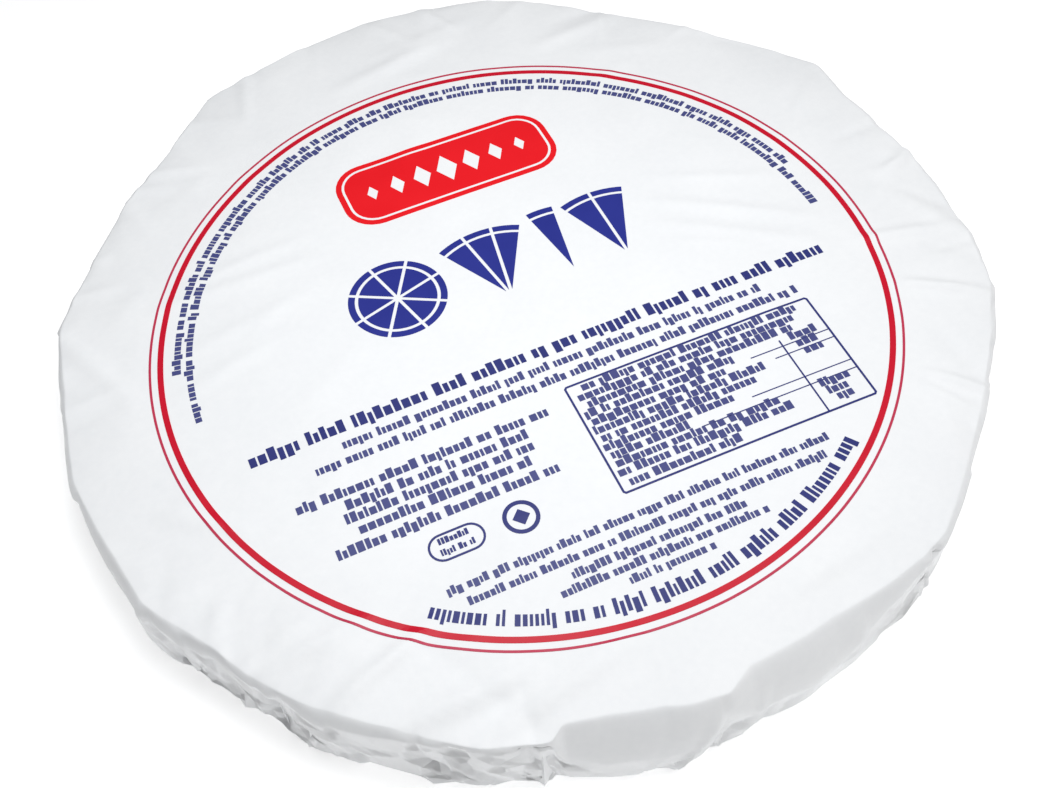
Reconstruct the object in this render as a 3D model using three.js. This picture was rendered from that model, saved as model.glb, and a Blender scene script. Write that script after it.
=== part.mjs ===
import * as THREE from 'three';

// A whole wheel of soft cheese shut in its paper wrap. The paper is drawn tight over the top,
// turned down round the side in hand-made folds and tucked flat underneath. It can't be seen into,
// so the wheel and its wrap are one solid.
// Millimetres, +Z up, standing on z = 0. +X runs along the printed lines on the top.

// Driving dimensions
const WHEEL_HEIGHT = 37;       // middle of the top above the surface that the wheel rests on
const TOP_FALL = 4.4;          // the top is a little domed: its fall from the middle to the rim
const FOOT_ROUND = 4;          // rounding between the side and the base
const FLATNESS = 0.5;          // 0 = round between two corners of the rim, 1 = a straight chord
const FOLD_REACH = 9;          // degrees over which the paper climbs back out behind a fold
const RIM_RIPPLE = 0.7;        // height of the puckers that run in from the rim
const RIPPLE_REACH = 34;       // how far in they run
const TURN_SHARPNESS = 1.45;   // 1 = the turn over the rim is rounded, 2 = a straight slope
const COLUMNS = 180;           // steps round the wheel

// The rim isn't a true circle, because the paper is pulled round it in flats with corners between them.
// Each corner: degrees anticlockwise from +X, and its distance from the middle of the cheese.
const RIM_CORNERS = [
  [5, 173.2], [13, 174.7], [20, 182], [27, 176.4], [35, 171.9], [50, 171.8], [63, 176.4], [72, 181.3],
  [90, 182.6], [109, 179.8], [116, 183.2], [123, 175.3], [131, 171], [138, 172.4], [150, 173.6], [161, 178.4],
  [170, 175.6], [185, 179.8], [204, 184.3], [217, 182], [226, 185.8], [243, 186], [251, 184.4], [263, 187.4],
  [277, 184], [290, 183], [297, 184], [305, 179.6], [319, 177], [334, 180.6], [343, 178], [353, 175.8],
];

// Folds of the side: degrees at the top edge, lean in degrees by the foot, and depth of the step.
const FOLDS = [
  [20, -3, 1.6], [34, 3, 0.9], [49, -4, 1.3], [63, 2, 1.0], [72, -3, 1.5], [86, 4, 0.9], [101, -3, 1.2],
  [116, -4, 1.8], [124, 3, 1.1], [138, -3, 1.5], [150, 4, 0.9], [161, -4, 1.5], [173, 3, 1.0],
  [186, -3, 1.2], [204, 3, 1.4], [212, 4, 1.1], [221, -3, 1.8], [227, 3, 1.3], [239, 4, 1.2],
  [246, 3, 1.9], [250, -1, 1.7], [266, -8, 1.9], [272, -3, 1.3], [284, 3, 0.9], [294, 2, 1.8],
  [306, -3, 1.0], [319, 3, 1.2], [334, -3, 1.5], [345, 4, 1.0], [356, -3, 1.2],
];

// How the top turns down into the side: degrees, how far in from the side the turn starts, and how far
// down it ends. It is a crisp edge nearly all the way round. At the front right the paper stands off the
// cheese and slopes down from further in.
const SHOULDER = [
  [0, 3, 3], [160, 3, 3.5], [185, 3, 4], [197, 4, 6], [205, 3.5, 5], [212, 4.5, 6], [218, 2.5, 3], [227, 4.5, 6],
  [236, 2.5, 3], [243, 1.2, 1.6], [249.6, 1.6, 2], [250.8, 6.5, 16], [255, 8, 20], [261, 8.5, 20],
  [267.5, 5, 13], [270.5, 9.5, 20], [281, 8.5, 18], [288, 5, 9], [293.5, 3, 3.5], [360, 3, 3],
];

const DEG = Math.PI / 180;
const turn = (degrees) => ((degrees % 360) + 360) % 360;
const smooth = (low, high, value) => THREE.MathUtils.smoothstep(value, low, high);

// Distance of the side from the middle of the cheese.
function rimRadius(degrees) {
  const angle = turn(degrees);
  const last = RIM_CORNERS.length - 1;
  let next = RIM_CORNERS.findIndex(([at]) => at > angle);
  if (next < 0) next = 0;
  const before = next === 0 ? last : next - 1;
  const [a0, r0] = RIM_CORNERS[before];
  const [a1, r1] = RIM_CORNERS[next];
  const span = turn(a1 - a0);
  const along = turn(angle - a0);
  const round = THREE.MathUtils.lerp(r0, r1, along / span);
  const chord = (r0 * r1 * Math.sin(span * DEG))
    / (r0 * Math.sin(along * DEG) + r1 * Math.sin((span - along) * DEG));
  return THREE.MathUtils.lerp(round, chord, FLATNESS);
}

// How far the folds set the paper in, at a share of the way down the side.
function foldDepth(degrees, share) {
  let depth = 0;
  for (const [at, lean, step] of FOLDS) {
    const behind = turn(degrees - at - lean * share);
    if (behind < FOLD_REACH) depth = Math.max(depth, step * (1 - behind / FOLD_REACH) ** 1.5);
  }
  return depth;
}

// How far in the turn over the rim starts, and how far down it ends.
function shoulder(degrees) {
  const angle = turn(degrees);
  const next = SHOULDER.findIndex(([at]) => at > angle);
  const [a0, w0, d0] = SHOULDER[next - 1];
  const [a1, w1, d1] = SHOULDER[next];
  const along = (angle - a0) / (a1 - a0);
  return [THREE.MathUtils.lerp(w0, w1, along), THREE.MathUtils.lerp(d0, d1, along)];
}

// Height of the paper on top at a distance from the middle.
function topHeight(degrees, radius, rim) {
  const a = degrees * DEG;
  const ripple = 0.6 * Math.sin(11 * a + 0.7) + 0.4 * Math.sin(17 * a + 2.1);
  const nearRim = smooth(rim - RIPPLE_REACH, rim, radius);
  return WHEEL_HEIGHT - TOP_FALL * (radius / rim) ** 2 + RIM_RIPPLE * ripple * nearRim;
}

// One upright section of the wheel, as [radius, height] from near the middle of the top,
// over the rim, down the side and in under the base.
function section(degrees) {
  const rim = rimRadius(degrees);
  const [width, drop] = shoulder(degrees);
  const edge = rim - width;
  const points = [];
  for (const share of [0.2, 0.4, 0.58, 0.73, 0.85, 0.93, 1]) {
    points.push([edge * share, topHeight(degrees, edge * share, rim)]);
  }
  const edgeHeight = points.at(-1)[1];
  for (const angle of [18, 36, 54, 72, 90]) {
    const out = Math.sin(angle * DEG) ** TURN_SHARPNESS;
    const down = 1 - Math.max(Math.cos(angle * DEG), 0) ** TURN_SHARPNESS;
    const inset = foldDepth(degrees, 0) * Math.sin(angle * DEG) ** 3;
    points.push([edge + width * out - inset, edgeHeight - drop * down]);
  }
  const sideTop = edgeHeight - drop;
  for (const share of [0.25, 0.5, 0.75, 1]) {
    points.push([rim - foldDepth(degrees, share), THREE.MathUtils.lerp(sideTop, FOOT_ROUND, share)]);
  }
  for (const angle of [30, 60, 90]) {
    const inset = foldDepth(degrees, 1) * Math.cos(angle * DEG * 0.7);
    const radius = rim - FOOT_ROUND * (1 - Math.cos(angle * DEG)) - inset;
    points.push([radius, FOOT_ROUND * (1 - Math.sin(angle * DEG))]);
  }
  return points;
}

// The sections are joined into one closed skin, with a point at the middle of the top and of the base.
function wheelGeometry() {
  const sections = Array.from({ length: COLUMNS }, (_, column) => section((360 / COLUMNS) * column));
  const rows = sections[0].length;
  const box = new THREE.Box2();
  const positions = [];
  for (let column = 0; column < COLUMNS; column += 1) {
    const a = (360 / COLUMNS) * column * DEG;
    for (const [radius, height] of sections[column]) {
      positions.push(radius * Math.cos(a), radius * Math.sin(a), Math.max(height, 0));
      box.expandByPoint(new THREE.Vector2(radius * Math.cos(a), radius * Math.sin(a)));
    }
  }
  const topPole = positions.length / 3;
  positions.push(0, 0, WHEEL_HEIGHT);
  const basePole = topPole + 1;
  positions.push(0, 0, 0);

  const index = [];
  for (let column = 0; column < COLUMNS; column += 1) {
    const here = column * rows;
    const there = ((column + 1) % COLUMNS) * rows;
    index.push(topPole, here, there);
    for (let row = 0; row < rows - 1; row += 1) {
      index.push(here + row, here + row + 1, there + row + 1);
      index.push(here + row, there + row + 1, there + row);
    }
    index.push(basePole, there + rows - 1, here + rows - 1);
  }
  const geometry = new THREE.BufferGeometry();
  geometry.setAttribute('position', new THREE.Float32BufferAttribute(positions, 3));
  geometry.setIndex(index);
  // The uneven rim is centred on the origin.
  const middle = box.getCenter(new THREE.Vector2());
  geometry.translate(-middle.x, -middle.y, 0);
  geometry.computeVertexNormals();
  return geometry;
}

const wheel = new THREE.Group();
const wrappedWheel = new THREE.Mesh(
  wheelGeometry(),
  new THREE.MeshStandardMaterial({ color: 0xeef1f4, roughness: 0.55, metalness: 0 }),
);
wrappedWheel.name = 'wrapped_wheel';
wheel.add(wrappedWheel);

export default wheel;
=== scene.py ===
import math
import random

import bpy
import numpy as np
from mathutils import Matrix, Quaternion, Vector
from mathutils.bvhtree import BVHTree
from mathutils.geometry import delaunay_2d_cdt


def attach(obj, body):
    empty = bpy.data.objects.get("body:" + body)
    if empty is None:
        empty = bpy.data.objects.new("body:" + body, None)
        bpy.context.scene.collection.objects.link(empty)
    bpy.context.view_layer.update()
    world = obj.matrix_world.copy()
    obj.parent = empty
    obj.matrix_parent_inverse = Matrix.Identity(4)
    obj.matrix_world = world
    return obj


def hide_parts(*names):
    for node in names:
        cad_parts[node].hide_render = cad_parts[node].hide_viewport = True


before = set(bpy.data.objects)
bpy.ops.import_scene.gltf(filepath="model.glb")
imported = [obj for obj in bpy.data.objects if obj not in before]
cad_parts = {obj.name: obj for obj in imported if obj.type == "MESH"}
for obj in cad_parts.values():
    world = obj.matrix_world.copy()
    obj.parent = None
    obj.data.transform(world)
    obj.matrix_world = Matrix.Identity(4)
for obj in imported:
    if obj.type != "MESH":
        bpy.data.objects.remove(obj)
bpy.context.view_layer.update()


# The wrapping paper: one sheet of thin white coated paper, drawn tight over the top of the wheel, turned
# down round its side in hand-made folds and tucked flat underneath. Its surface is worked out in
# millimetres round the middle of the cheese and then set in the frame.
MM = 0.001
CHEESE_MIDDLE = np.array([2.207, 1.858])
WHEEL_HEIGHT = 37.0
TOP_FALL = 4.4
FOOT_ROUND = 4.0
TURN_SHARPNESS = 1.45  # 1 = the turn over the rim is rounded, 2 = a straight slope
FLATNESS = 0.5  # 0 = round between two corners of the rim, 1 = a straight chord
RIM_RIPPLE = 0.7
RIPPLE_REACH = 34.0
FOLD_REACH = 9.0  # degrees over which the paper climbs back out behind a fold
FOLD_EDGE = 0.9

# The folds of the top stand up more in the bare margin than under the print.
PRINTED_RELIEF = 1.15
MARGIN_RELIEF = 2.0
MARGIN_STARTS = 116.0
MARGIN_FULL = 146.0

# The rim's corners: degrees anticlockwise from +X, distance from the middle of the cheese.
RIM_CORNERS = np.array([
    [5, 173.2], [13, 174.7], [20, 182], [27, 176.4], [35, 171.9], [50, 171.8], [63, 176.4], [72, 181.3],
    [90, 182.6], [109, 179.8], [116, 183.2], [123, 175.3], [131, 171], [138, 172.4], [150, 173.6],
    [161, 178.4], [170, 175.6], [185, 179.8], [204, 184.3], [217, 182], [226, 185.8], [243, 186],
    [251, 184.4], [263, 187.4], [277, 184], [290, 183], [297, 184], [305, 179.6], [319, 177],
    [334, 180.6], [343, 178], [353, 175.8],
])

# How the top turns down into the side: degrees, how far in the turn starts, how far down it ends.
# It is a crisp edge nearly all the way round. At the front right the paper stands off the cheese and
# slopes down from further in.
SHOULDER = np.array([
    [0, 3, 3], [160, 3, 3.5], [185, 3, 4], [197, 4, 6], [205, 3.5, 5], [212, 4.5, 6], [218, 2.5, 3],
    [227, 4.5, 6], [236, 2.5, 3], [243, 1.2, 1.6], [249.6, 1.6, 2], [250.8, 6.5, 16], [255, 8, 20],
    [261, 8.5, 20], [267.5, 5, 13], [270.5, 9.5, 20], [281, 8.5, 18], [288, 5, 9], [293.5, 3, 3.5],
    [360, 3, 3],
])

# The side's folds: degrees at the top edge, lean in degrees by the foot, depth of the step.
FOLDS = [
    (20, -3, 1.6), (34, 3, 0.9), (49, -4, 1.3), (63, 2, 1.0), (72, -3, 1.5), (86, 4, 0.9), (101, -3, 1.2),
    (116, -4, 1.8), (124, 3, 1.1), (138, -3, 1.5), (150, 4, 0.9), (161, -4, 1.5), (173, 3, 1.0),
    (186, -3, 1.2), (204, 3, 1.4), (212, 4, 1.1), (221, -3, 1.8), (227, 3, 1.3), (239, 4, 1.2),
    (246, 3, 1.9), (250, -1, 1.7), (266, -8, 1.9), (272, -3, 1.3), (284, 3, 0.9), (294, 2, 1.8),
    (306, -3, 1.0), (319, 3, 1.2), (334, -3, 1.5), (345, 4, 1.0), (356, -3, 1.2),
]

# Soft folds of the top: the two ends as x and y, half width, height.
TOP_FOLDS = [
    (60, 20, 123, -21, 3.0, 0.85), (58, 8, 121, -36, 3.4, 0.75), (66, 30, 122, 6, 2.8, 0.55),
    (62, -6, 96, -24, 2.6, 0.4), (-132, 50, -58, 47, 3.6, 0.6), (-122, 56, -60, 60, 3.2, 0.55),
    (-128, 22, -66, 32, 4.0, 0.5), (-134, 4, -84, 16, 3.4, 0.45), (-76, -118, -124, -134, 2.8, 1.0),
    (-52, -146, -124, -146, 3.2, 0.95), (-92, -108, -142, -112, 3.0, 0.6), (-20, -150, -84, -162, 3.2, 0.7),
    (128, -60, 162, -82, 2.4, 0.95), (114, -100, 136, -122, 2.4, 0.85), (124, -36, 172, -46, 2.8, 0.7),
    (-30, 138, 40, 152, 3.6, 0.6), (60, 126, 112, 134, 3.6, 0.55), (-86, 118, -124, 130, 3.0, 0.6),
    (20, -158, 70, -150, 3.0, 0.6), (-152, -40, -120, -62, 3.0, 0.5), (140, 30, 166, 58, 3.0, 0.5),
]

# Marked folds of the side at the front: the upright fold, the two lines of the gusset, the pillow with
# its long crease, the recess at its foot and the notches. Each is its two ends as degrees and millimetres
# down the side, half width, height, and whether it is creased or soft.
MARKED = [
    (248.7, -4, 248.2, 30, 2.4, 1.4, True), (266.5, -8, 257.0, 30, 3.2, 1.6, True),
    (270.5, -2, 260.5, 32, 3.0, -1.4, True), (250.5, 16, 265.0, 13, 11.0, 1.2, False),
    (251.5, 27, 263.0, 15, 2.6, -0.9, True), (252.0, 20, 262.0, 9, 3.0, 0.5, True),
    (259.8, 22, 261.6, 38, 3.4, -2.4, True), (294.6, -8, 295.2, 34, 3.0, -2.2, True),
    (272.4, -12, 271.6, 14, 2.6, -1.3, True), (270.5, 18, 273.5, 32, 3.0, 1.5, True),
    (263.0, 24, 271.0, 26, 7.0, 1.0, False), (281.0, 2, 276.0, 30, 6.0, -0.6, False),
    (219.0, -6, 222.5, 30, 2.6, -1.2, True), (225.0, -2, 221.0, 32, 2.8, 1.2, True),
    (236.0, 30, 241.5, 10, 3.0, 0.9, True), (239.5, 8, 244.5, 26, 2.6, -0.9, True),
    (209.0, -6, 211.5, 28, 2.6, 1.2, True), (213.0, 2, 215.5, 30, 2.6, -1.1, True),
    (203.5, -8, 203.5, 24, 3.2, 1.1, True), (288.0, 2, 292.0, 30, 5.0, 0.8, False),
]

# How much the paper of the side is crumpled: degrees and share.
CRUMPLE = np.array([
    [0, 0.6], [150, 0.6], [186, 0.35], [203, 0.5], [207, 1.0], [226, 1.0], [229, 0.3], [235, 0.3], [238, 1.0],
    [249, 1.1], [252, 0.2], [262, 0.25], [264, 0.8], [272, 0.8], [275, 0.25], [287, 0.25], [289, 0.6],
    [295, 1.0], [298, 0.3], [304, 0.3], [310, 0.6], [360, 0.6],
])


def smooth(low, high, value):
    share = np.clip((value - low) / (high - low), 0.0, 1.0)
    return share * share * (3.0 - 2.0 * share)


def corner_radius(degrees):
    angle = np.mod(degrees, 360.0)
    after = np.searchsorted(RIM_CORNERS[:, 0], angle, side="right") % len(RIM_CORNERS)
    before = (after - 1) % len(RIM_CORNERS)
    span = np.mod(RIM_CORNERS[after, 0] - RIM_CORNERS[before, 0], 360.0)
    along = np.mod(angle - RIM_CORNERS[before, 0], 360.0)
    near, far = RIM_CORNERS[before, 1], RIM_CORNERS[after, 1]
    straight = near * far * np.sin(np.radians(span)) / (
        near * np.sin(np.radians(along)) + far * np.sin(np.radians(span - along)))
    rounded = near + (far - near) * along / span
    return rounded + (straight - rounded) * FLATNESS


def rim_radius(degrees):
    return (corner_radius(degrees - 1.0) + 2.0 * corner_radius(degrees) + corner_radius(degrees + 1.0)) / 4.0


def ridge(x, y, x0, y0, x1, y1, width, height, creased):
    """Height of one straight fold that dies away at its ends."""
    length = math.hypot(x1 - x0, y1 - y0)
    ux, uy = (x1 - x0) / length, (y1 - y0) / length
    along = ((x - x0) * ux + (y - y0) * uy) / length
    across = np.abs((y - y0) * ux - (x - x0) * uy) / width
    taper = np.clip(1.0 - (2.0 * along - 1.0) ** 2, 0.0, None)
    profile = np.clip(1.0 - across, 0.0, None) if creased else np.exp(-across * across)
    return height * taper * profile


# Many fainter folds: some all over the top, and short ones that run in from the rim.
TOP_CREASES = 120
RIM_CREASES = 80
top_draw = random.Random(41)
faint_folds = []
for _ in range(TOP_CREASES):
    fold_x = top_draw.uniform(-175, 175)
    fold_y = top_draw.uniform(-180, 180)
    fold_turn = math.radians(top_draw.gauss(10, 28))
    half_x = top_draw.uniform(9, 34) * math.cos(fold_turn)
    half_y = top_draw.uniform(9, 34) * math.sin(fold_turn)
    faint_folds.append((fold_x - half_x, fold_y - half_y, fold_x + half_x, fold_y + half_y,
                        top_draw.uniform(3.0, 5.5), top_draw.uniform(-0.16, 0.28)))
for _ in range(RIM_CREASES):
    fold_at = math.radians(top_draw.uniform(0, 360))
    skew = fold_at + math.radians(top_draw.gauss(0, 9))
    inner = top_draw.uniform(143, 162)
    faint_folds.append((inner * math.cos(skew), inner * math.sin(skew),
                        186 * math.cos(fold_at), 186 * math.sin(fold_at),
                        top_draw.uniform(2.0, 3.6), top_draw.uniform(-0.35, 0.5)))


def top_height(x, y):
    """Height of the paper on top of the wheel at a place in the frame, in millimetres."""
    from_x, from_y = x - CHEESE_MIDDLE[0], y - CHEESE_MIDDLE[1]
    reach = np.hypot(from_x, from_y)
    turn = np.arctan2(from_y, from_x)
    rim = rim_radius(np.degrees(turn))
    ripple = 0.6 * np.sin(11 * turn + 0.7) + 0.4 * np.sin(17 * turn + 2.1)
    height = WHEEL_HEIGHT - TOP_FALL * (reach / rim) ** 2
    height = height + RIM_RIPPLE * ripple * smooth(rim - RIPPLE_REACH, rim, reach)
    folds = 0.0
    for fold in TOP_FOLDS + faint_folds:
        folds = folds + ridge(x, y, *fold, False)
    margin = smooth(MARGIN_STARTS, MARGIN_FULL, reach)
    return height + folds * (PRINTED_RELIEF + (MARGIN_RELIEF - PRINTED_RELIEF) * margin)


def fold_depth(degrees, share):
    depth = np.zeros_like(degrees)
    for at, lean, step in FOLDS:
        behind = np.mod(degrees - at - lean * share, 360.0)
        slope = step * np.clip(1.0 - behind / FOLD_REACH, 0.0, None) ** 1.5
        depth = np.maximum(depth, slope * smooth(0.0, FOLD_EDGE, behind))
    return depth


# The paper is a sphere's mesh drawn out into the wheel's shape, ring by ring.
COLUMNS = 800
TOP_ROWS = 70
SHOULDER_ROWS = 12
SIDE_ROWS = 22
FOOT_ROWS = 5
BASE_ROWS = 13
EDGE_ROW = 0.6
RINGS = TOP_ROWS + SHOULDER_ROWS + SIDE_ROWS + FOOT_ROWS + BASE_ROWS

bpy.ops.object.select_all(action="DESELECT")
bpy.ops.mesh.primitive_uv_sphere_add(segments=COLUMNS, ring_count=RINGS + 1, radius=1.0, calc_uvs=False)
paper = bpy.context.active_object
paper.name = "paper_wrap"
paper.data.name = "paper_wrap"

count = len(paper.data.vertices)
sphere = np.empty(count * 3)
paper.data.vertices.foreach_get("co", sphere)
sphere = sphere.reshape(-1, 3)
ring = np.rint(np.arccos(np.clip(sphere[:, 2], -1.0, 1.0)) / math.pi * (RINGS + 1)).astype(int)
degrees = np.mod(np.degrees(np.arctan2(sphere[:, 1], sphere[:, 0])), 360.0)
degrees = np.where((ring == 0) | (ring == RINGS + 1), 0.0, degrees)
cosine, sine = np.cos(np.radians(degrees)), np.sin(np.radians(degrees))

# Where each ring of the mesh falls on the section: top, shoulder, side, foot, base.
rim = rim_radius(degrees)
width = np.interp(degrees, SHOULDER[:, 0], SHOULDER[:, 1])
drop = np.interp(degrees, SHOULDER[:, 0], SHOULDER[:, 2])
edge = rim - width
edge_height = top_height(CHEESE_MIDDLE[0] + edge * cosine, CHEESE_MIDDLE[1] + edge * sine)
side_top = edge_height - drop

top_share = np.where(ring < TOP_ROWS, ring / (TOP_ROWS - 1) * (1.0 - EDGE_ROW / edge), 1.0)
shoulder_turn = np.clip((ring - TOP_ROWS) / SHOULDER_ROWS, 0.0, 1.0) * (math.pi / 2.0)
side_share = np.clip((ring - TOP_ROWS - SHOULDER_ROWS) / SIDE_ROWS, 0.0, 1.0)
foot_turn = np.clip((ring - TOP_ROWS - SHOULDER_ROWS - SIDE_ROWS) / FOOT_ROWS, 0.0, 1.0) * (math.pi / 2.0)
base_share = np.clip((ring - (RINGS - BASE_ROWS)) / (BASE_ROWS + 1), 0.0, 1.0)

on_top = ring <= TOP_ROWS
on_shoulder = (ring > TOP_ROWS) & (ring <= TOP_ROWS + SHOULDER_ROWS)
on_side = (ring > TOP_ROWS + SHOULDER_ROWS) & (ring <= TOP_ROWS + SHOULDER_ROWS + SIDE_ROWS)
on_foot = (ring > TOP_ROWS + SHOULDER_ROWS + SIDE_ROWS) & (ring <= RINGS - BASE_ROWS)
on_base = ring > RINGS - BASE_ROWS

section = [on_top, on_shoulder, on_side, on_foot, on_base]
radius = np.select(section, [
    edge * top_share,
    edge + width * np.sin(shoulder_turn) ** TURN_SHARPNESS,
    rim,
    rim - FOOT_ROUND * (1.0 - np.cos(foot_turn)),
    (rim - FOOT_ROUND) * (1.0 - base_share)])
height = np.select(section, [
    edge_height,
    edge_height - drop * (1.0 - np.clip(np.cos(shoulder_turn), 0.0, 1.0) ** TURN_SHARPNESS),
    side_top + (FOOT_ROUND - side_top) * side_share,
    FOOT_ROUND * (1.0 - np.sin(foot_turn)),
    np.zeros(count)])

# Place on the unrolled side: millimetres round it, and down it from the end of the shoulder. The curves of
# the shoulder and the foot are a little over three quarters as long as their width and drop together.
MEAN_RADIUS = 183.0
ARC = math.radians(1.0) * MEAN_RADIUS
FOOT_LENGTH = 6.3
CRUMPLE_FROM = -24.0
CRUMPLE_TO = 58.0
shoulder_length = 0.78 * (width + drop)
around = degrees * ARC
down = np.select(section, [
    -shoulder_length - (edge - radius),
    -shoulder_length * (1.0 - shoulder_turn / (math.pi / 2.0)),
    (side_top - FOOT_ROUND) * side_share,
    side_top - FOOT_ROUND + FOOT_LENGTH * foot_turn / (math.pi / 2.0),
    side_top - FOOT_ROUND + FOOT_LENGTH + (rim - FOOT_ROUND - radius)])
near_side = (down > CRUMPLE_FROM - 2.0) & (down < CRUMPLE_TO + 2.0)


def crumpled(spacing_round, spacing_down, amount, seed):
    """A crumpled sheet over the unrolled side: a height is drawn at scattered points, and the paper runs
    straight between them, so it breaks into flat facets with creases between. Gives the height, and its
    slope round the side and down it."""
    draw = np.random.default_rng(seed)
    scatter = 0.38
    whole = 360.0 * ARC
    columns = round(whole / spacing_round)
    sites = []
    values = []
    for level in np.arange(CRUMPLE_FROM, CRUMPLE_TO, spacing_down):
        fade = np.interp(level, [-24, -12, -3, 5, 28, 38, 56], [0, 0.15, 0.35, 1, 1, 0.7, 0])
        for column in range(columns):
            at = (column + 0.5 + scatter * draw.uniform(-1, 1)) * whole / columns
            below = level + scatter * spacing_down * draw.uniform(-1, 1)
            value = amount * fade * (np.clip(draw.normal(), -1.8, 1.8) - 0.8)
            value *= np.interp(at / ARC, CRUMPLE[:, 0], CRUMPLE[:, 1])
            for shift in (-whole, 0.0, whole):
                if -3 * spacing_round < at + shift < whole + 3 * spacing_round:
                    sites.append(Vector((at + shift, below)))
                    values.append(value)
    corners, _, triangles, came_from, _, _ = delaunay_2d_cdt(sites, [], [], 0, 1e-6)
    corners = np.array([corner[:] for corner in corners])
    values = np.array([values[origin[0]] for origin in came_from])
    chosen = np.nonzero(near_side)[0]
    chosen = chosen[np.argsort(around[chosen])]
    u, v = around[chosen], down[chosen]
    result = np.zeros((3, count))
    for triangle in triangles:
        (au, av), (bu, bv), (cu, cv) = corners[list(triangle)]
        start, stop = np.searchsorted(u, [min(au, bu, cu), max(au, bu, cu)])
        du, dv = u[start:stop], v[start:stop]
        area = (bu - au) * (cv - av) - (cu - au) * (bv - av)
        if abs(area) < 1e-9 or start == stop:
            continue
        second = ((du - au) * (cv - av) - (cu - au) * (dv - av)) / area
        third = ((bu - au) * (dv - av) - (du - au) * (bv - av)) / area
        first = 1.0 - second - third
        inside = (first >= -1e-6) & (second >= -1e-6) & (third >= -1e-6)
        va, vb, vc = values[list(triangle)]
        blended = first * va + second * vb + third * vc
        facet = chosen[start:stop][inside]
        result[0, facet] = blended[inside]
        result[1, facet] = ((vb - va) * (cv - av) - (vc - va) * (bv - av)) / area
        result[2, facet] = ((vc - va) * (bu - au) - (vb - va) * (cu - au)) / area
    return result


crease, slope_round, slope_down = crumpled(17.0, 15.0, 0.85, 3) + crumpled(8.0, 8.5, 0.5, 4)
crumple_share = np.interp(degrees, CRUMPLE[:, 0], CRUMPLE[:, 1])
crumple_share *= np.interp(down, [-1, 4, 30, 50], [0, 1, 1, 0.3])
crumple_layer = paper.data.attributes.new("crumple", "FLOAT", "POINT")
crumple_layer.data.foreach_set("value", crumple_share.astype(np.float32))
fade_out = np.interp(down, [-26, -14, 40, 56], [0, 1, 1, 0])
for at0, down0, at1, down1, fold_width, amount, creased in MARKED:
    crease += fade_out * ridge(around, down, at0 * ARC, down0, at1 * ARC, down1, fold_width, amount, creased)
crease *= near_side

folds = fold_depth(degrees, side_share)
folds = np.where(on_shoulder, folds * np.sin(shoulder_turn) ** 2, folds)
folds = np.where(on_foot, folds * np.cos(foot_turn * 0.7), folds)
folds = np.where(on_top | on_base, 0.0, folds)
outward = crease - folds
lean_out = np.select(section, [np.zeros(count), np.sin(shoulder_turn), np.ones(count), np.cos(foot_turn),
                               np.zeros(count)])
lean_up = np.select(section, [np.ones(count), np.cos(shoulder_turn), np.zeros(count), -np.sin(foot_turn),
                              -np.ones(count)])
radius = radius + outward * lean_out

# How each facet leans, kept on the paper for its material, which makes the light on it crisper.
STEEPEST_FACET = 0.17
lean = np.empty((count, 3))
lean[:, 0] = slope_round * sine - slope_down * lean_up * cosine
lean[:, 1] = -slope_round * cosine - slope_down * lean_up * sine
lean[:, 2] = slope_down * lean_out
lean *= (near_side * np.interp(down, [-9, -1, 2, 36, 42], [0.0, 0.35, 1.0, 1.0, 0.0]))[:, None]
lean /= np.maximum(np.linalg.norm(lean, axis=1, keepdims=True) / STEEPEST_FACET, 1.0)
facet_layer = paper.data.attributes.new("facet_lean", "FLOAT_VECTOR", "POINT")
facet_layer.data.foreach_set("vector", lean.astype(np.float32).ravel())

# Underneath, the paper is gathered in flat tucks towards the middle.
BASE_TUCKS = 34
BASE_TUCK_DEEP = 0.9
tucks = degrees * BASE_TUCKS / 360.0 + 0.35 * np.sin(np.radians(degrees) * 5.0) + 0.9 * base_share
tucks = np.mod(tucks, 1.0)
tuck_fade = smooth(0.03, 0.2, base_share) * (1.0 - 0.6 * smooth(0.75, 0.95, base_share))
tuck_depth = BASE_TUCK_DEEP * (1.0 - tucks) * tuck_fade

place = np.empty((count, 3))
place[:, 0] = CHEESE_MIDDLE[0] + radius * cosine
place[:, 1] = CHEESE_MIDDLE[1] + radius * sine
on_paper = np.where(on_top, top_height(place[:, 0], place[:, 1]), np.where(on_base, tuck_depth, height))
place[:, 2] = np.maximum(on_paper + outward * lean_up, 0.0)
paper.data.vertices.foreach_set("co", (place * MM).ravel())
paper.data.update()
bpy.ops.object.shade_smooth()


class Value:
    """A shader socket that is added, subtracted and multiplied like a number."""

    def __init__(self, tree, socket):
        self.tree = tree
        self.socket = socket

    def make(self, kind, settings=None, sockets=None, output=0):
        node = self.tree.nodes.new(kind)
        for name, setting in (settings or {}).items():
            setattr(node, name, setting)
        for name, value in (sockets or {}).items():
            if isinstance(value, Value):
                self.tree.links.new(value.socket, node.inputs[name])
            else:
                node.inputs[name].default_value = value
        return Value(self.tree, node.outputs[output])

    def maths(self, operation, *values):
        return self.make("ShaderNodeMath", {"operation": operation}, dict(enumerate(values)))

    def __add__(self, other):
        return self.maths("ADD", self, other)

    def __sub__(self, other):
        return self.maths("SUBTRACT", self, other)

    def __rsub__(self, other):
        return self.maths("SUBTRACT", other, self)

    def __mul__(self, other):
        return self.maths("MULTIPLY", self, other)

    def clamp(self):
        return self.make("ShaderNodeClamp", None, {"Value": self})

    def blend(self, low, high):
        return self.make("ShaderNodeMix", {"data_type": "RGBA"}, {"Factor": self, "A": low, "B": high}, 2)

    def vector(self, operation, *values):
        return self.make("ShaderNodeVectorMath", {"operation": operation}, dict(enumerate((self,) + values)))

    __radd__ = __add__
    __rmul__ = __mul__


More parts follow.
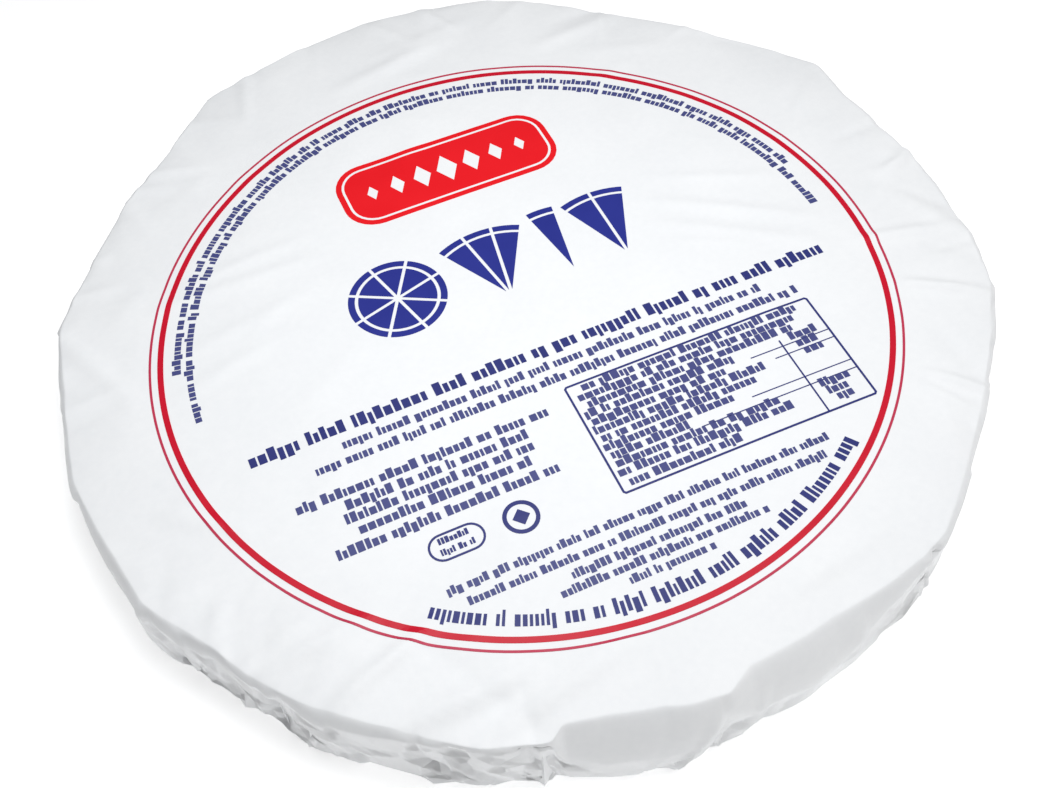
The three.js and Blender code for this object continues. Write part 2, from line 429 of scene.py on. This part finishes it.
def new_material(name):
    material = bpy.data.materials.new(name)
    material.use_nodes = True
    tree = material.node_tree
    shader = tree.nodes["Principled BSDF"]
    where = tree.nodes.new("ShaderNodeTexCoord")
    return material, tree, shader, Value(tree, where.outputs["Object"])


def noise(place, scale, detail, rough=0.5, distort=0.0):
    return place.make("ShaderNodeTexNoise", None, {
        "Vector": place, "Scale": scale, "Detail": detail, "Roughness": rough, "Distortion": distort})


def plug(tree, value, socket):
    tree.links.new(value.socket, socket)


# Coated white paper: satin, finely fibred, a little uneven in tone, and glossier where it is stretched and
# rubbed on the side.
FACET_TILT = 5.0
SMALL_TILT = 0.4
SIDE_STARTS = 0.0335  # metres above the floor
paper_material, tree, shader, spot = new_material("coated_paper")
fibre = noise(spot, 1900.0, 5.0, 0.65)
mottle = noise(spot, 38.0, 3.0)
cloud = noise(spot, 9.0, 2.0)
grain = noise(spot, 330.0, 3.0, 0.6)
buckle = noise(spot, 85.0, 2.0, 0.45)
shade = mottle * 0.35 + cloud * 0.25 + grain * 0.4
colour = shade.blend((0.81, 0.825, 0.845, 1.0), (0.955, 0.96, 0.965, 1.0))
plug(tree, colour, shader.inputs["Base Color"])
above_floor = spot.make("ShaderNodeSeparateXYZ", None, {"Vector": spot}, "Z")
side_share_here = ((SIDE_STARTS - above_floor) * 300.0).clamp()
plug(tree, 0.6 - side_share_here * 0.26 + mottle * 0.14 + fibre * 0.06, shader.inputs["Roughness"])
relief = fibre * 0.05 + grain * 0.12 + mottle * 0.34 + buckle * 0.6
bump = relief.make("ShaderNodeBump", None, {"Strength": 0.5, "Distance": 0.0005, "Height": relief})
# The facets of the side catch the light one by one, and small ones lie between the creases.
facet_lean = spot.make("ShaderNodeAttribute", {"attribute_name": "facet_lean"}, None, "Vector")
crumple_here = spot.make("ShaderNodeAttribute", {"attribute_name": "crumple"}, None, "Fac")
small_cell = spot.make("ShaderNodeTexVoronoi", None, {"Vector": spot, "Scale": 150.0}, "Color")
small_lean = small_cell.vector("SUBTRACT", (0.5, 0.5, 0.5))
small_lean = small_lean.make("ShaderNodeVectorMath", {"operation": "SCALE"}, {
    0: small_lean, "Scale": crumple_here * (2.0 * SMALL_TILT)})
facet_lean = facet_lean.make("ShaderNodeVectorMath", {"operation": "SCALE"}, {
    0: facet_lean, "Scale": FACET_TILT})
tilted = bump.vector("ADD", facet_lean).vector("ADD", small_lean).vector("NORMALIZE")
plug(tree, tilted, shader.inputs["Normal"])
plug(tree, side_share_here * 0.25, shader.inputs["Coat Weight"])
shader.inputs["Specular IOR Level"].default_value = 0.28
shader.inputs["Coat Roughness"].default_value = 0.25
paper.data.materials.append(paper_material)
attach(paper, "root")
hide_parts("wrapped_wheel")


# The tucks of the side: spare paper pinched up where it is gathered and pressed flat again, so that it lies
# on the side in small crisp darts that open towards the foot, each with a crease down its middle.
# Each is degrees, height of its foot, width, length, slant and how far the middle of its foot stands off.
TUCKS = [
    (215.8, 2, 12, 12, 3.0, 1.2), (220.4, 1.5, 8, 25, 4.0, 0.7), (224.2, 2, 7, 23, 5.0, 0.9),
    (227.2, 1.5, 11, 14, 4.0, 1.2), (237.6, 1.5, 19, 10, -7.0, 2.4), (243.6, 1.5, 16, 15, -7.0, 2.0),
    (248.6, 3, 7, 26, 0.5, 1.5), (208.6, 2, 9, 24, 2.0, 0.8), (261.8, 1.5, 9, 15, -5.0, 0.8),
    (266.4, 1.5, 9, 28, -7.0, 0.6), (294.9, 1.5, 10, 19, -2.0, 1.6), (304.6, 2, 9, 23, 2.0, 0.8),
]
TUCK_DEEP = 4.0
TUCK_TOP = 30.5
UNSEEN_TUCKS = 32
OUTSIDE = 250.0
tuck_draw = random.Random(9)
for _ in range(UNSEEN_TUCKS):
    TUCKS.append((tuck_draw.uniform(312, 560), tuck_draw.uniform(1.5, 4), tuck_draw.uniform(7, 15),
                  tuck_draw.uniform(12, 25), tuck_draw.gauss(0, 4), tuck_draw.uniform(0.6, 1.6)))

bpy.context.view_layer.update()
side = BVHTree.FromObject(paper, bpy.context.evaluated_depsgraph_get())


def on_the_side(turn, height, off):
    """A place at an angle and a height, a little off the paper of the side or sunk into it."""
    outward = Vector((math.cos(math.radians(turn)), math.sin(math.radians(turn)), 0.0))
    axis = Vector((CHEESE_MIDDLE[0], CHEESE_MIDDLE[1], height)) * MM
    met = side.ray_cast(axis + outward * OUTSIDE * MM, -outward)[0]
    return met + outward * off * MM


bpy.ops.object.select_all(action="DESELECT")
bpy.ops.mesh.primitive_plane_add(size=0.01)
tucks = bpy.context.active_object
tucks.name = "side_tucks"
tucks.data.name = "side_tucks"
bpy.ops.object.mode_set(mode="EDIT")
for _ in TUCKS[1:]:
    bpy.ops.mesh.primitive_plane_add(size=0.01)
bpy.ops.object.mode_set(mode="OBJECT")
for dart, (turn, foot, wide, tall, slant, off) in zip(tucks.data.polygons, TUCKS):
    half = 0.5 * wide / ARC
    top = min(foot + tall, TUCK_TOP)
    corners = [
        on_the_side(turn, foot, off), on_the_side(turn + half, foot + 0.1 * tall, -0.8),
        on_the_side(turn + slant / ARC, top, -0.6), on_the_side(turn - half, foot, -0.8)]
    for corner, place in zip(dart.vertices, corners):
        tucks.data.vertices[corner].co = place
bpy.ops.object.mode_set(mode="EDIT")
bpy.ops.mesh.select_all(action="SELECT")
bpy.ops.mesh.quads_convert_to_tris(quad_method="FIXED")
bpy.ops.object.mode_set(mode="OBJECT")
body = tucks.modifiers.new("body", "SOLIDIFY")
body.thickness = TUCK_DEEP * MM
body.offset = -1.0
bpy.ops.object.modifier_apply(modifier="body")
bpy.ops.object.shade_flat()
tucks.data.materials.append(paper_material)
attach(tucks, "root")


# The printed rings: a broad red one and a fine one outside it, flat ink on the paper. Each ink is drawn on a
# level sheet above the wheel, pressed down on to the paper and given the thickness of a film. Places on the
# sheet are millimetres from the rings' centre.
PRINT_CENTRE = (-1.68, -11.78)
SHEET_HEIGHT = 60.0
INK_ABOVE = 0.15
INK_THICK = 0.31
RING_SQUARES = 1.2
RING_RADIUS = 136.0
BROAD_RING = 2.2
FINE_RING_RADIUS = 139.9
FINE_RING = 0.9


def on_sheet(x, y):
    return Vector((PRINT_CENTRE[0] + x, PRINT_CENTRE[1] + y, SHEET_HEIGHT)) * MM


def blank_sheet(name):
    """An empty piece to draw on, left open in edit mode."""
    bpy.ops.object.select_all(action="DESELECT")
    bpy.ops.mesh.primitive_plane_add(size=MM)
    sheet = bpy.context.active_object
    sheet.name = name
    sheet.data.name = name
    bpy.ops.object.mode_set(mode="EDIT")
    bpy.ops.mesh.delete(type="VERT")


def draw_ring(x, y, outer, inner, corners):
    bpy.ops.mesh.primitive_circle_add(vertices=corners, radius=outer * MM, location=on_sheet(x, y))
    bpy.ops.mesh.extrude_edges_move()
    bpy.ops.transform.resize(value=(inner / outer, inner / outer, 1.0), center_override=on_sheet(x, y))


def cut_in_squares(size):
    """Cuts what is drawn every few millimetres both ways, so that it can follow the paper."""
    sheet = bpy.context.active_object
    sheet.update_from_editmode()
    corners = [corner.co for corner in sheet.data.vertices]
    for way in (Vector((1.0, 0.0, 0.0)), Vector((0.0, 1.0, 0.0))):
        cut = min(corner.dot(way) for corner in corners) + size * MM
        last = max(corner.dot(way) for corner in corners)
        while cut < last:
            bpy.ops.mesh.select_all(action="SELECT")
            bpy.ops.mesh.bisect(plane_co=way * cut, plane_no=way, threshold=1e-7)
            cut += size * MM


def press_on(material, lift=0.0):
    """Lays the drawn sheet on the paper as a film of ink."""
    film = bpy.context.active_object
    bpy.ops.object.mode_set(mode="OBJECT")
    for face in film.data.polygons:
        face.select = face.normal.z < 0.0
    bpy.ops.object.mode_set(mode="EDIT")
    bpy.ops.mesh.flip_normals()
    bpy.ops.object.mode_set(mode="OBJECT")
    laid = film.modifiers.new("laid", "SHRINKWRAP")
    laid.target = paper
    laid.wrap_method = "PROJECT"
    laid.use_project_z = True
    laid.use_positive_direction = False
    laid.use_negative_direction = True
    laid.offset = (INK_ABOVE + lift) * MM
    bpy.ops.object.modifier_apply(modifier="laid")
    depth = film.modifiers.new("depth", "SOLIDIFY")
    depth.thickness = (INK_THICK + lift) * MM
    depth.offset = -1.0
    bpy.ops.object.modifier_apply(modifier="depth")
    film.data.materials.append(material)
    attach(film, "root")


def ink(name, light, dark):
    material, tree, shader, spot = new_material(name)
    patch = noise(spot, 60.0, 3.0)
    fibre = noise(spot, 1900.0, 5.0, 0.65)
    plug(tree, (patch * 0.7 + fibre * 0.3).blend(dark, light), shader.inputs["Base Color"])
    plug(tree, 0.34 + patch * 0.16, shader.inputs["Roughness"])
    relief = fibre * 0.1 + patch * 0.3
    bump = relief.make("ShaderNodeBump", None, {"Strength": 0.4, "Distance": 0.0004, "Height": relief})
    plug(tree, bump, shader.inputs["Normal"])
    shader.inputs["Specular IOR Level"].default_value = 0.25
    return material


red = ink("red_ink", (0.66, 0.006, 0.030, 1.0), (0.54, 0.004, 0.020, 1.0))
fine_red = ink("fine_red_ink", (0.58, 0.045, 0.10, 1.0), (0.48, 0.03, 0.07, 1.0))
blank_sheet("ring_broad")
draw_ring(0.0, 0.0, RING_RADIUS + BROAD_RING / 2, RING_RADIUS - BROAD_RING / 2, 360)
cut_in_squares(RING_SQUARES)
press_on(red)
blank_sheet("ring_fine")
draw_ring(0.0, 0.0, FINE_RING_RADIUS + FINE_RING / 2, FINE_RING_RADIUS - FINE_RING / 2, 360)
cut_in_squares(RING_SQUARES)
press_on(fine_red)


# The plaque at the print's upper edge: a red field with round corners, a fine white line inside its
# edge and a row of white lozenges, which are bare paper left unprinted.
PLAQUE_MIDDLE = (2.0, 82.0)
PLAQUE_SIZE = (92.0, 36.0)
PLAQUE_CORNER = 13.0
KEYLINE_IN = 2.4
KEYLINE = 1.0
LOZENGE_TALL = 16.0
LOZENGE_APART = 10.8
BARE_LIFT = 0.05
FIELD_SQUARES = 3.0


def draw_field(x, y, wide, tall, corner=0.0, steps=7):
    """A filled oblong round a middle, its corners rounded."""
    bpy.ops.mesh.primitive_plane_add(size=MM, location=on_sheet(x, y))
    bpy.ops.transform.resize(value=(wide, tall, 1.0), center_override=on_sheet(x, y))
    if corner:
        bpy.ops.mesh.bevel(offset=corner * MM, segments=steps, affect="VERTICES")


def draw_frame(x, y, wide, tall, corner, line, steps=7):
    """The outline of such an oblong: the field is inset by the line and its middle is taken away."""
    draw_field(x, y, wide, tall, corner, steps)
    bpy.ops.mesh.inset(thickness=line * MM)
    bpy.ops.mesh.delete(type="FACE")


def draw_lozenge(x, y, wide, tall):
    bpy.ops.mesh.primitive_circle_add(
        vertices=4, radius=tall / 2 * MM, fill_type="NGON", location=on_sheet(x, y))
    bpy.ops.transform.resize(value=(wide / tall, 1.0, 1.0), center_override=on_sheet(x, y))


plaque_red = ink("plaque_red_ink", (0.88, 0.010, 0.018, 1.0), (0.78, 0.007, 0.013, 1.0))
blank_sheet("plaque_red")
draw_field(*PLAQUE_MIDDLE, *PLAQUE_SIZE, PLAQUE_CORNER)
cut_in_squares(FIELD_SQUARES)
press_on(plaque_red)
blank_sheet("plaque_bare")
draw_frame(*PLAQUE_MIDDLE, PLAQUE_SIZE[0] - 2 * KEYLINE_IN, PLAQUE_SIZE[1] - 2 * KEYLINE_IN,
           PLAQUE_CORNER - KEYLINE_IN, KEYLINE)
for step in range(-3, 4):
    tall = LOZENGE_TALL - 2.6 * abs(step)
    draw_lozenge(PLAQUE_MIDDLE[0] + LOZENGE_APART * step, PLAQUE_MIDDLE[1], 0.56 * tall, tall)
cut_in_squares(FIELD_SQUARES)
press_on(paper_material, BARE_LIFT)


# The large dark blue shapes under the plaque: wheels of cheese seen from above, whole, in part and as one
# slice. One portion of each is cut from a disc and its rind, and the others are spun from it.
RIND = 2.6
BARE_GAP = 1.3
blue = ink("blue_ink", (0.028, 0.038, 0.30, 1.0), (0.018, 0.026, 0.22, 1.0))


def draw_portions(x, y, reach, start, each, portions):
    """Portions of a wheel side by side, in degrees anticlockwise from the right."""
    sheet = bpy.context.active_object
    middle = on_sheet(x, y)
    bpy.ops.mesh.primitive_circle_add(
        vertices=80, radius=(reach - RIND - BARE_GAP) * MM, fill_type="NGON", location=middle)
    bpy.ops.mesh.hide(unselected=True)
    draw_ring(x, y, reach, reach - RIND, 80)
    for turn, way in ((start, 1.0), (start + each, -1.0)):
        out = Vector((way * math.sin(math.radians(turn)), -way * math.cos(math.radians(turn)), 0.0))
        bpy.ops.mesh.select_all(action="SELECT")
        bpy.ops.mesh.bisect(plane_co=middle - out * BARE_GAP / 2 * MM, plane_no=out, clear_outer=True,
                            threshold=1e-7)
    bpy.ops.mesh.select_all(action="SELECT")
    if portions > 1:
        turned = math.radians(each) * (portions - 1)
        bpy.ops.mesh.spin(steps=portions - 1, dupli=True, angle=-turned, center=middle, axis=(0.0, 0.0, 1.0))
    bpy.ops.mesh.reveal(select=False)


blank_sheet("portions_blue")
draw_portions(-41.0, 24.0, 19.0, 15.0, 45.0, 8)
draw_portions(-1.5, 5.0, 37.5, 62.0, 56.0 / 3, 3)
draw_portions(25.5, 5.0, 37.5, 80.5, 19.0, 1)
draw_portions(47.5, 5.0, 37.5, 68.0, 22.0, 2)
cut_in_squares(FIELD_SQUARES)
press_on(blue)


# The small print: rows of little upright blocks in groups, in the sizes and places of the real rows. It is
# set in dark blue, and looks lighter than the large shapes because its strokes are fine.
ROW_SQUARES = 2.2
LOW_BLOCK = 0.72  # these four are shares of the height of a row
HANG = 0.22
BLOCK_GAP = 0.13
GROUP_GAP = 0.42
dark_blue = ink("dark_blue_ink", (0.034, 0.042, 0.21, 1.0), (0.024, 0.030, 0.155, 1.0))
small_blue = ink("small_blue_ink", (0.075, 0.085, 0.25, 1.0), (0.055, 0.062, 0.20, 1.0))
print_draw = random.Random(5)


def set_row(x, y, length, tall, stroke=(0.24, 0.56)):
    """A row from its left end: groups of blocks, some tall, some low and a few that hang below the line."""
    at = 0.0
    while at < length:
        for _ in range(print_draw.randint(2, 9)):
            wide = tall * print_draw.uniform(*stroke)
            if at + wide > length:
                return
            kind = print_draw.random()
            high = tall if kind < 0.3 else tall * LOW_BLOCK
            low = -HANG * tall if kind > 0.9 else 0.0
            middle = on_sheet(x + at + wide / 2, y + (low + high) / 2)
            bpy.ops.mesh.primitive_plane_add(size=MM, location=middle)
            bpy.ops.transform.resize(value=(wide, high - low, 1.0), center_override=middle)
            at += wide + tall * BLOCK_GAP
        at += tall * GROUP_GAP


def set_curved_row(reach, start, stop, tall, tops_out, stroke=(0.24, 0.56)):
    """A row that is set straight and then bent round the rings' centre, from one angle to another."""
    sheet = bpy.context.active_object
    sheet.update_from_editmode()
    first = len(sheet.data.vertices)
    set_row(0.0, 0.0, abs(math.radians(stop - start)) * reach, tall, stroke)
    bpy.ops.object.mode_set(mode="OBJECT")
    way = 1 if stop > start else -1
    rise = 1 if tops_out else -1
    for corner in sheet.data.vertices[first:]:
        along, up = (corner.co - on_sheet(0.0, 0.0)).xy / MM
        turn = math.radians(start) + way * along / reach
        out = reach + rise * up
        corner.co = on_sheet(out * math.cos(turn), out * math.sin(turn))
    bpy.ops.object.mode_set(mode="EDIT")


blank_sheet("heading_row")
set_row(-114.0, -25.4, 229.0, 5.6, (0.24, 0.54))
cut_in_squares(ROW_SQUARES)
press_on(dark_blue)

# Rows are the left end's place and the length.
LEFT_ROWS = [(-105, -50.6, 95), (-89, -56.2, 69), (-91, -61.4, 69), (-88, -66.8, 63), (-98, -73.2, 81)]
LOWER_ROWS = [(-70, -100.6, 142), (-65, -106.6, 132), (-31, -112.2, 64), (-37, -117.0, 76), (-15, -121.8, 32)]
blank_sheet("small_rows")
set_row(-82.0, -32.3, 166.0, 3.8)
set_row(-94.0, -38.7, 190.0, 3.8)
for x, y, length in LEFT_ROWS:
    set_row(x, y, length, 4.1, (0.26, 0.66))
for x, y, length in LOWER_ROWS:
    set_row(x, y, length, 3.2, (0.26, 0.62))
set_curved_row(128.4, 168, 10, 3.3, True, (0.3, 0.7))
set_curved_row(124.0, 179, -1, 3.3, True, (0.3, 0.7))
cut_in_squares(ROW_SQUARES)
press_on(small_blue)
blank_sheet("lower_curved_row")
set_curved_row(131.4, -127, -52, 5.6, False, (0.17, 0.38))
cut_in_squares(ROW_SQUARES)
press_on(dark_blue)


# The table: a ruled box with close rows of small print, a narrow right-hand column that starts part of the
# way down, and a few fine rules. Fine lines are distance under the top line and start; rows are that
# distance, start and length.
TABLE_LEFT, TABLE_RIGHT = -2.6, 97.0
TABLE_TOP, TABLE_BOTTOM = -42.0, -91.0
TABLE_LINE = 0.8
FINE_LINE = 0.4
COLUMN_LINE = 0.6
TABLE_COLUMN = 77.0
COLUMN_FALL = 14.0
FINE_LINES = ((16.6, 64.0), (20.4, 72.0), (31.8, 56.0), (35.6, 34.0))
TABLE_ROWS = [
    (4.2, 6, 88), (8.0, 3, 88), (11.8, 5, 84), (15.6, 2, 60), (19.4, 3, 54), (23.2, 2, 68), (27.0, 3, 62),
    (30.8, 2, 52), (34.6, 3, 30), (38.4, 3, 64), (42.2, 2, 68), (46.8, 4, 44),
    (15.6, 84, 11), (19.4, 85, 9), (23.2, 86, 8), (38.4, 83, 12), (42.2, 84, 11), (45.6, 86, 8),
]


def draw_line(x0, y0, x1, y1):
    draw_field((x0 + x1) / 2, (y0 + y1) / 2, x1 - x0, y1 - y0)


blank_sheet("table_lines")
draw_frame((TABLE_LEFT + TABLE_RIGHT) / 2, (TABLE_TOP + TABLE_BOTTOM) / 2,
           TABLE_RIGHT - TABLE_LEFT, TABLE_TOP - TABLE_BOTTOM, 0.9, TABLE_LINE, 1)
draw_line(TABLE_COLUMN, TABLE_BOTTOM + TABLE_LINE, TABLE_COLUMN + COLUMN_LINE, TABLE_TOP - COLUMN_FALL)
for fall, start in FINE_LINES:
    draw_line(start, TABLE_TOP - fall - FINE_LINE, TABLE_RIGHT - TABLE_LINE, TABLE_TOP - fall)
cut_in_squares(FIELD_SQUARES)
press_on(dark_blue)
blank_sheet("table_rows")
for fall, start, length in TABLE_ROWS:
    set_row(TABLE_LEFT + start, TABLE_TOP - fall, length, 3.6, (0.3, 0.8))
cut_in_squares(ROW_SQUARES)
press_on(small_blue)


# Two small plain marks left of the lower rows: a ruled box with round ends and a disc in a ring.
BOX_MIDDLE = (-60.2, -83.5)
SIGN_MIDDLE = (-37.2, -84.0)
blank_sheet("small_signs")
draw_frame(*BOX_MIDDLE, 20.0, 10.5, 5.2, 0.8)
set_row(-66.0, -82.2, 12.0, 2.4)
set_row(-66.5, -86.4, 13.0, 2.4)
draw_ring(*SIGN_MIDDLE, 6.4, 4.9, 36)
draw_lozenge(*SIGN_MIDDLE, 6.4, 6.4)
cut_in_squares(ROW_SQUARES)
press_on(dark_blue)


# The floor is plain and pale and glows a little, as a lit white table does.
FLOOR_GLOW = 0.5
bpy.ops.object.select_all(action="DESELECT")
bpy.ops.mesh.primitive_plane_add(size=8.0, location=(0.0, 0.0, -0.0003))
floor = bpy.context.active_object
floor.name = "floor"
floor_material, tree, shader, spot = new_material("pale_floor")
plug(tree, noise(spot, 3.0, 2.0).blend((0.80, 0.80, 0.80, 1.0), (0.83, 0.83, 0.83, 1.0)),
     shader.inputs["Base Color"])
shader.inputs["Roughness"].default_value = 0.9
shader.inputs["Emission Color"].default_value = (1.0, 1.0, 1.0, 1.0)
shader.inputs["Emission Strength"].default_value = FLOOR_GLOW
floor.data.materials.append(floor_material)


# Soft light: a broad lamp high at the right, a small one over the middle and a white room.
ROOM_GLOW = 0.155


def lamp(name, at, size, power, tint):
    data = bpy.data.lights.new(name, "AREA")
    data.shape = "DISK"
    data.size = size
    data.energy = power
    data.color = tint
    light = bpy.data.objects.new(name, data)
    bpy.context.scene.collection.objects.link(light)
    light.location = at
    light.rotation_mode = "QUATERNION"
    light.rotation_quaternion = (Vector((0.0, 0.0, 0.0)) - Vector(at)).to_track_quat("-Z", "Y")


lamp("key", (0.46, -0.40, 1.15), 1.15, 6.0, (1.0, 0.99, 0.98))
lamp("top", (-0.02, -0.03, 0.48), 0.36, 1.6, (0.97, 0.985, 1.0))
bpy.context.scene.view_settings.view_transform = "Standard"
world = bpy.data.worlds.new("room")
world.use_nodes = True
world.node_tree.nodes["Background"].inputs["Color"].default_value = (0.98, 0.99, 1.0, 1.0)
world.node_tree.nodes["Background"].inputs["Strength"].default_value = ROOM_GLOW
bpy.context.scene.world = world


# The camera looks down on the wheel from the front left of the print, close enough for strong
# perspective, and is rolled a little to its right.
CAMERA_AT = Vector((-111.48, -311.51, 405.9)) * MM
CAMERA_AIM = Vector((-16.93, -50.81, 37.0)) * MM
CAMERA_ROLL = math.radians(-4.8)
camera_data = bpy.data.cameras.new("camera")
camera_data.lens = 44.4
camera_data.sensor_width = 36.0
camera_data.clip_start = 0.01
camera = bpy.data.objects.new("camera", camera_data)
bpy.context.scene.collection.objects.link(camera)
camera.rotation_mode = "QUATERNION"
facing = (CAMERA_AIM - CAMERA_AT).to_track_quat("-Z", "Y")
camera.rotation_quaternion = facing @ Quaternion((0.0, 0.0, 1.0), CAMERA_ROLL)
camera.location = CAMERA_AT
bpy.context.scene.camera = camera
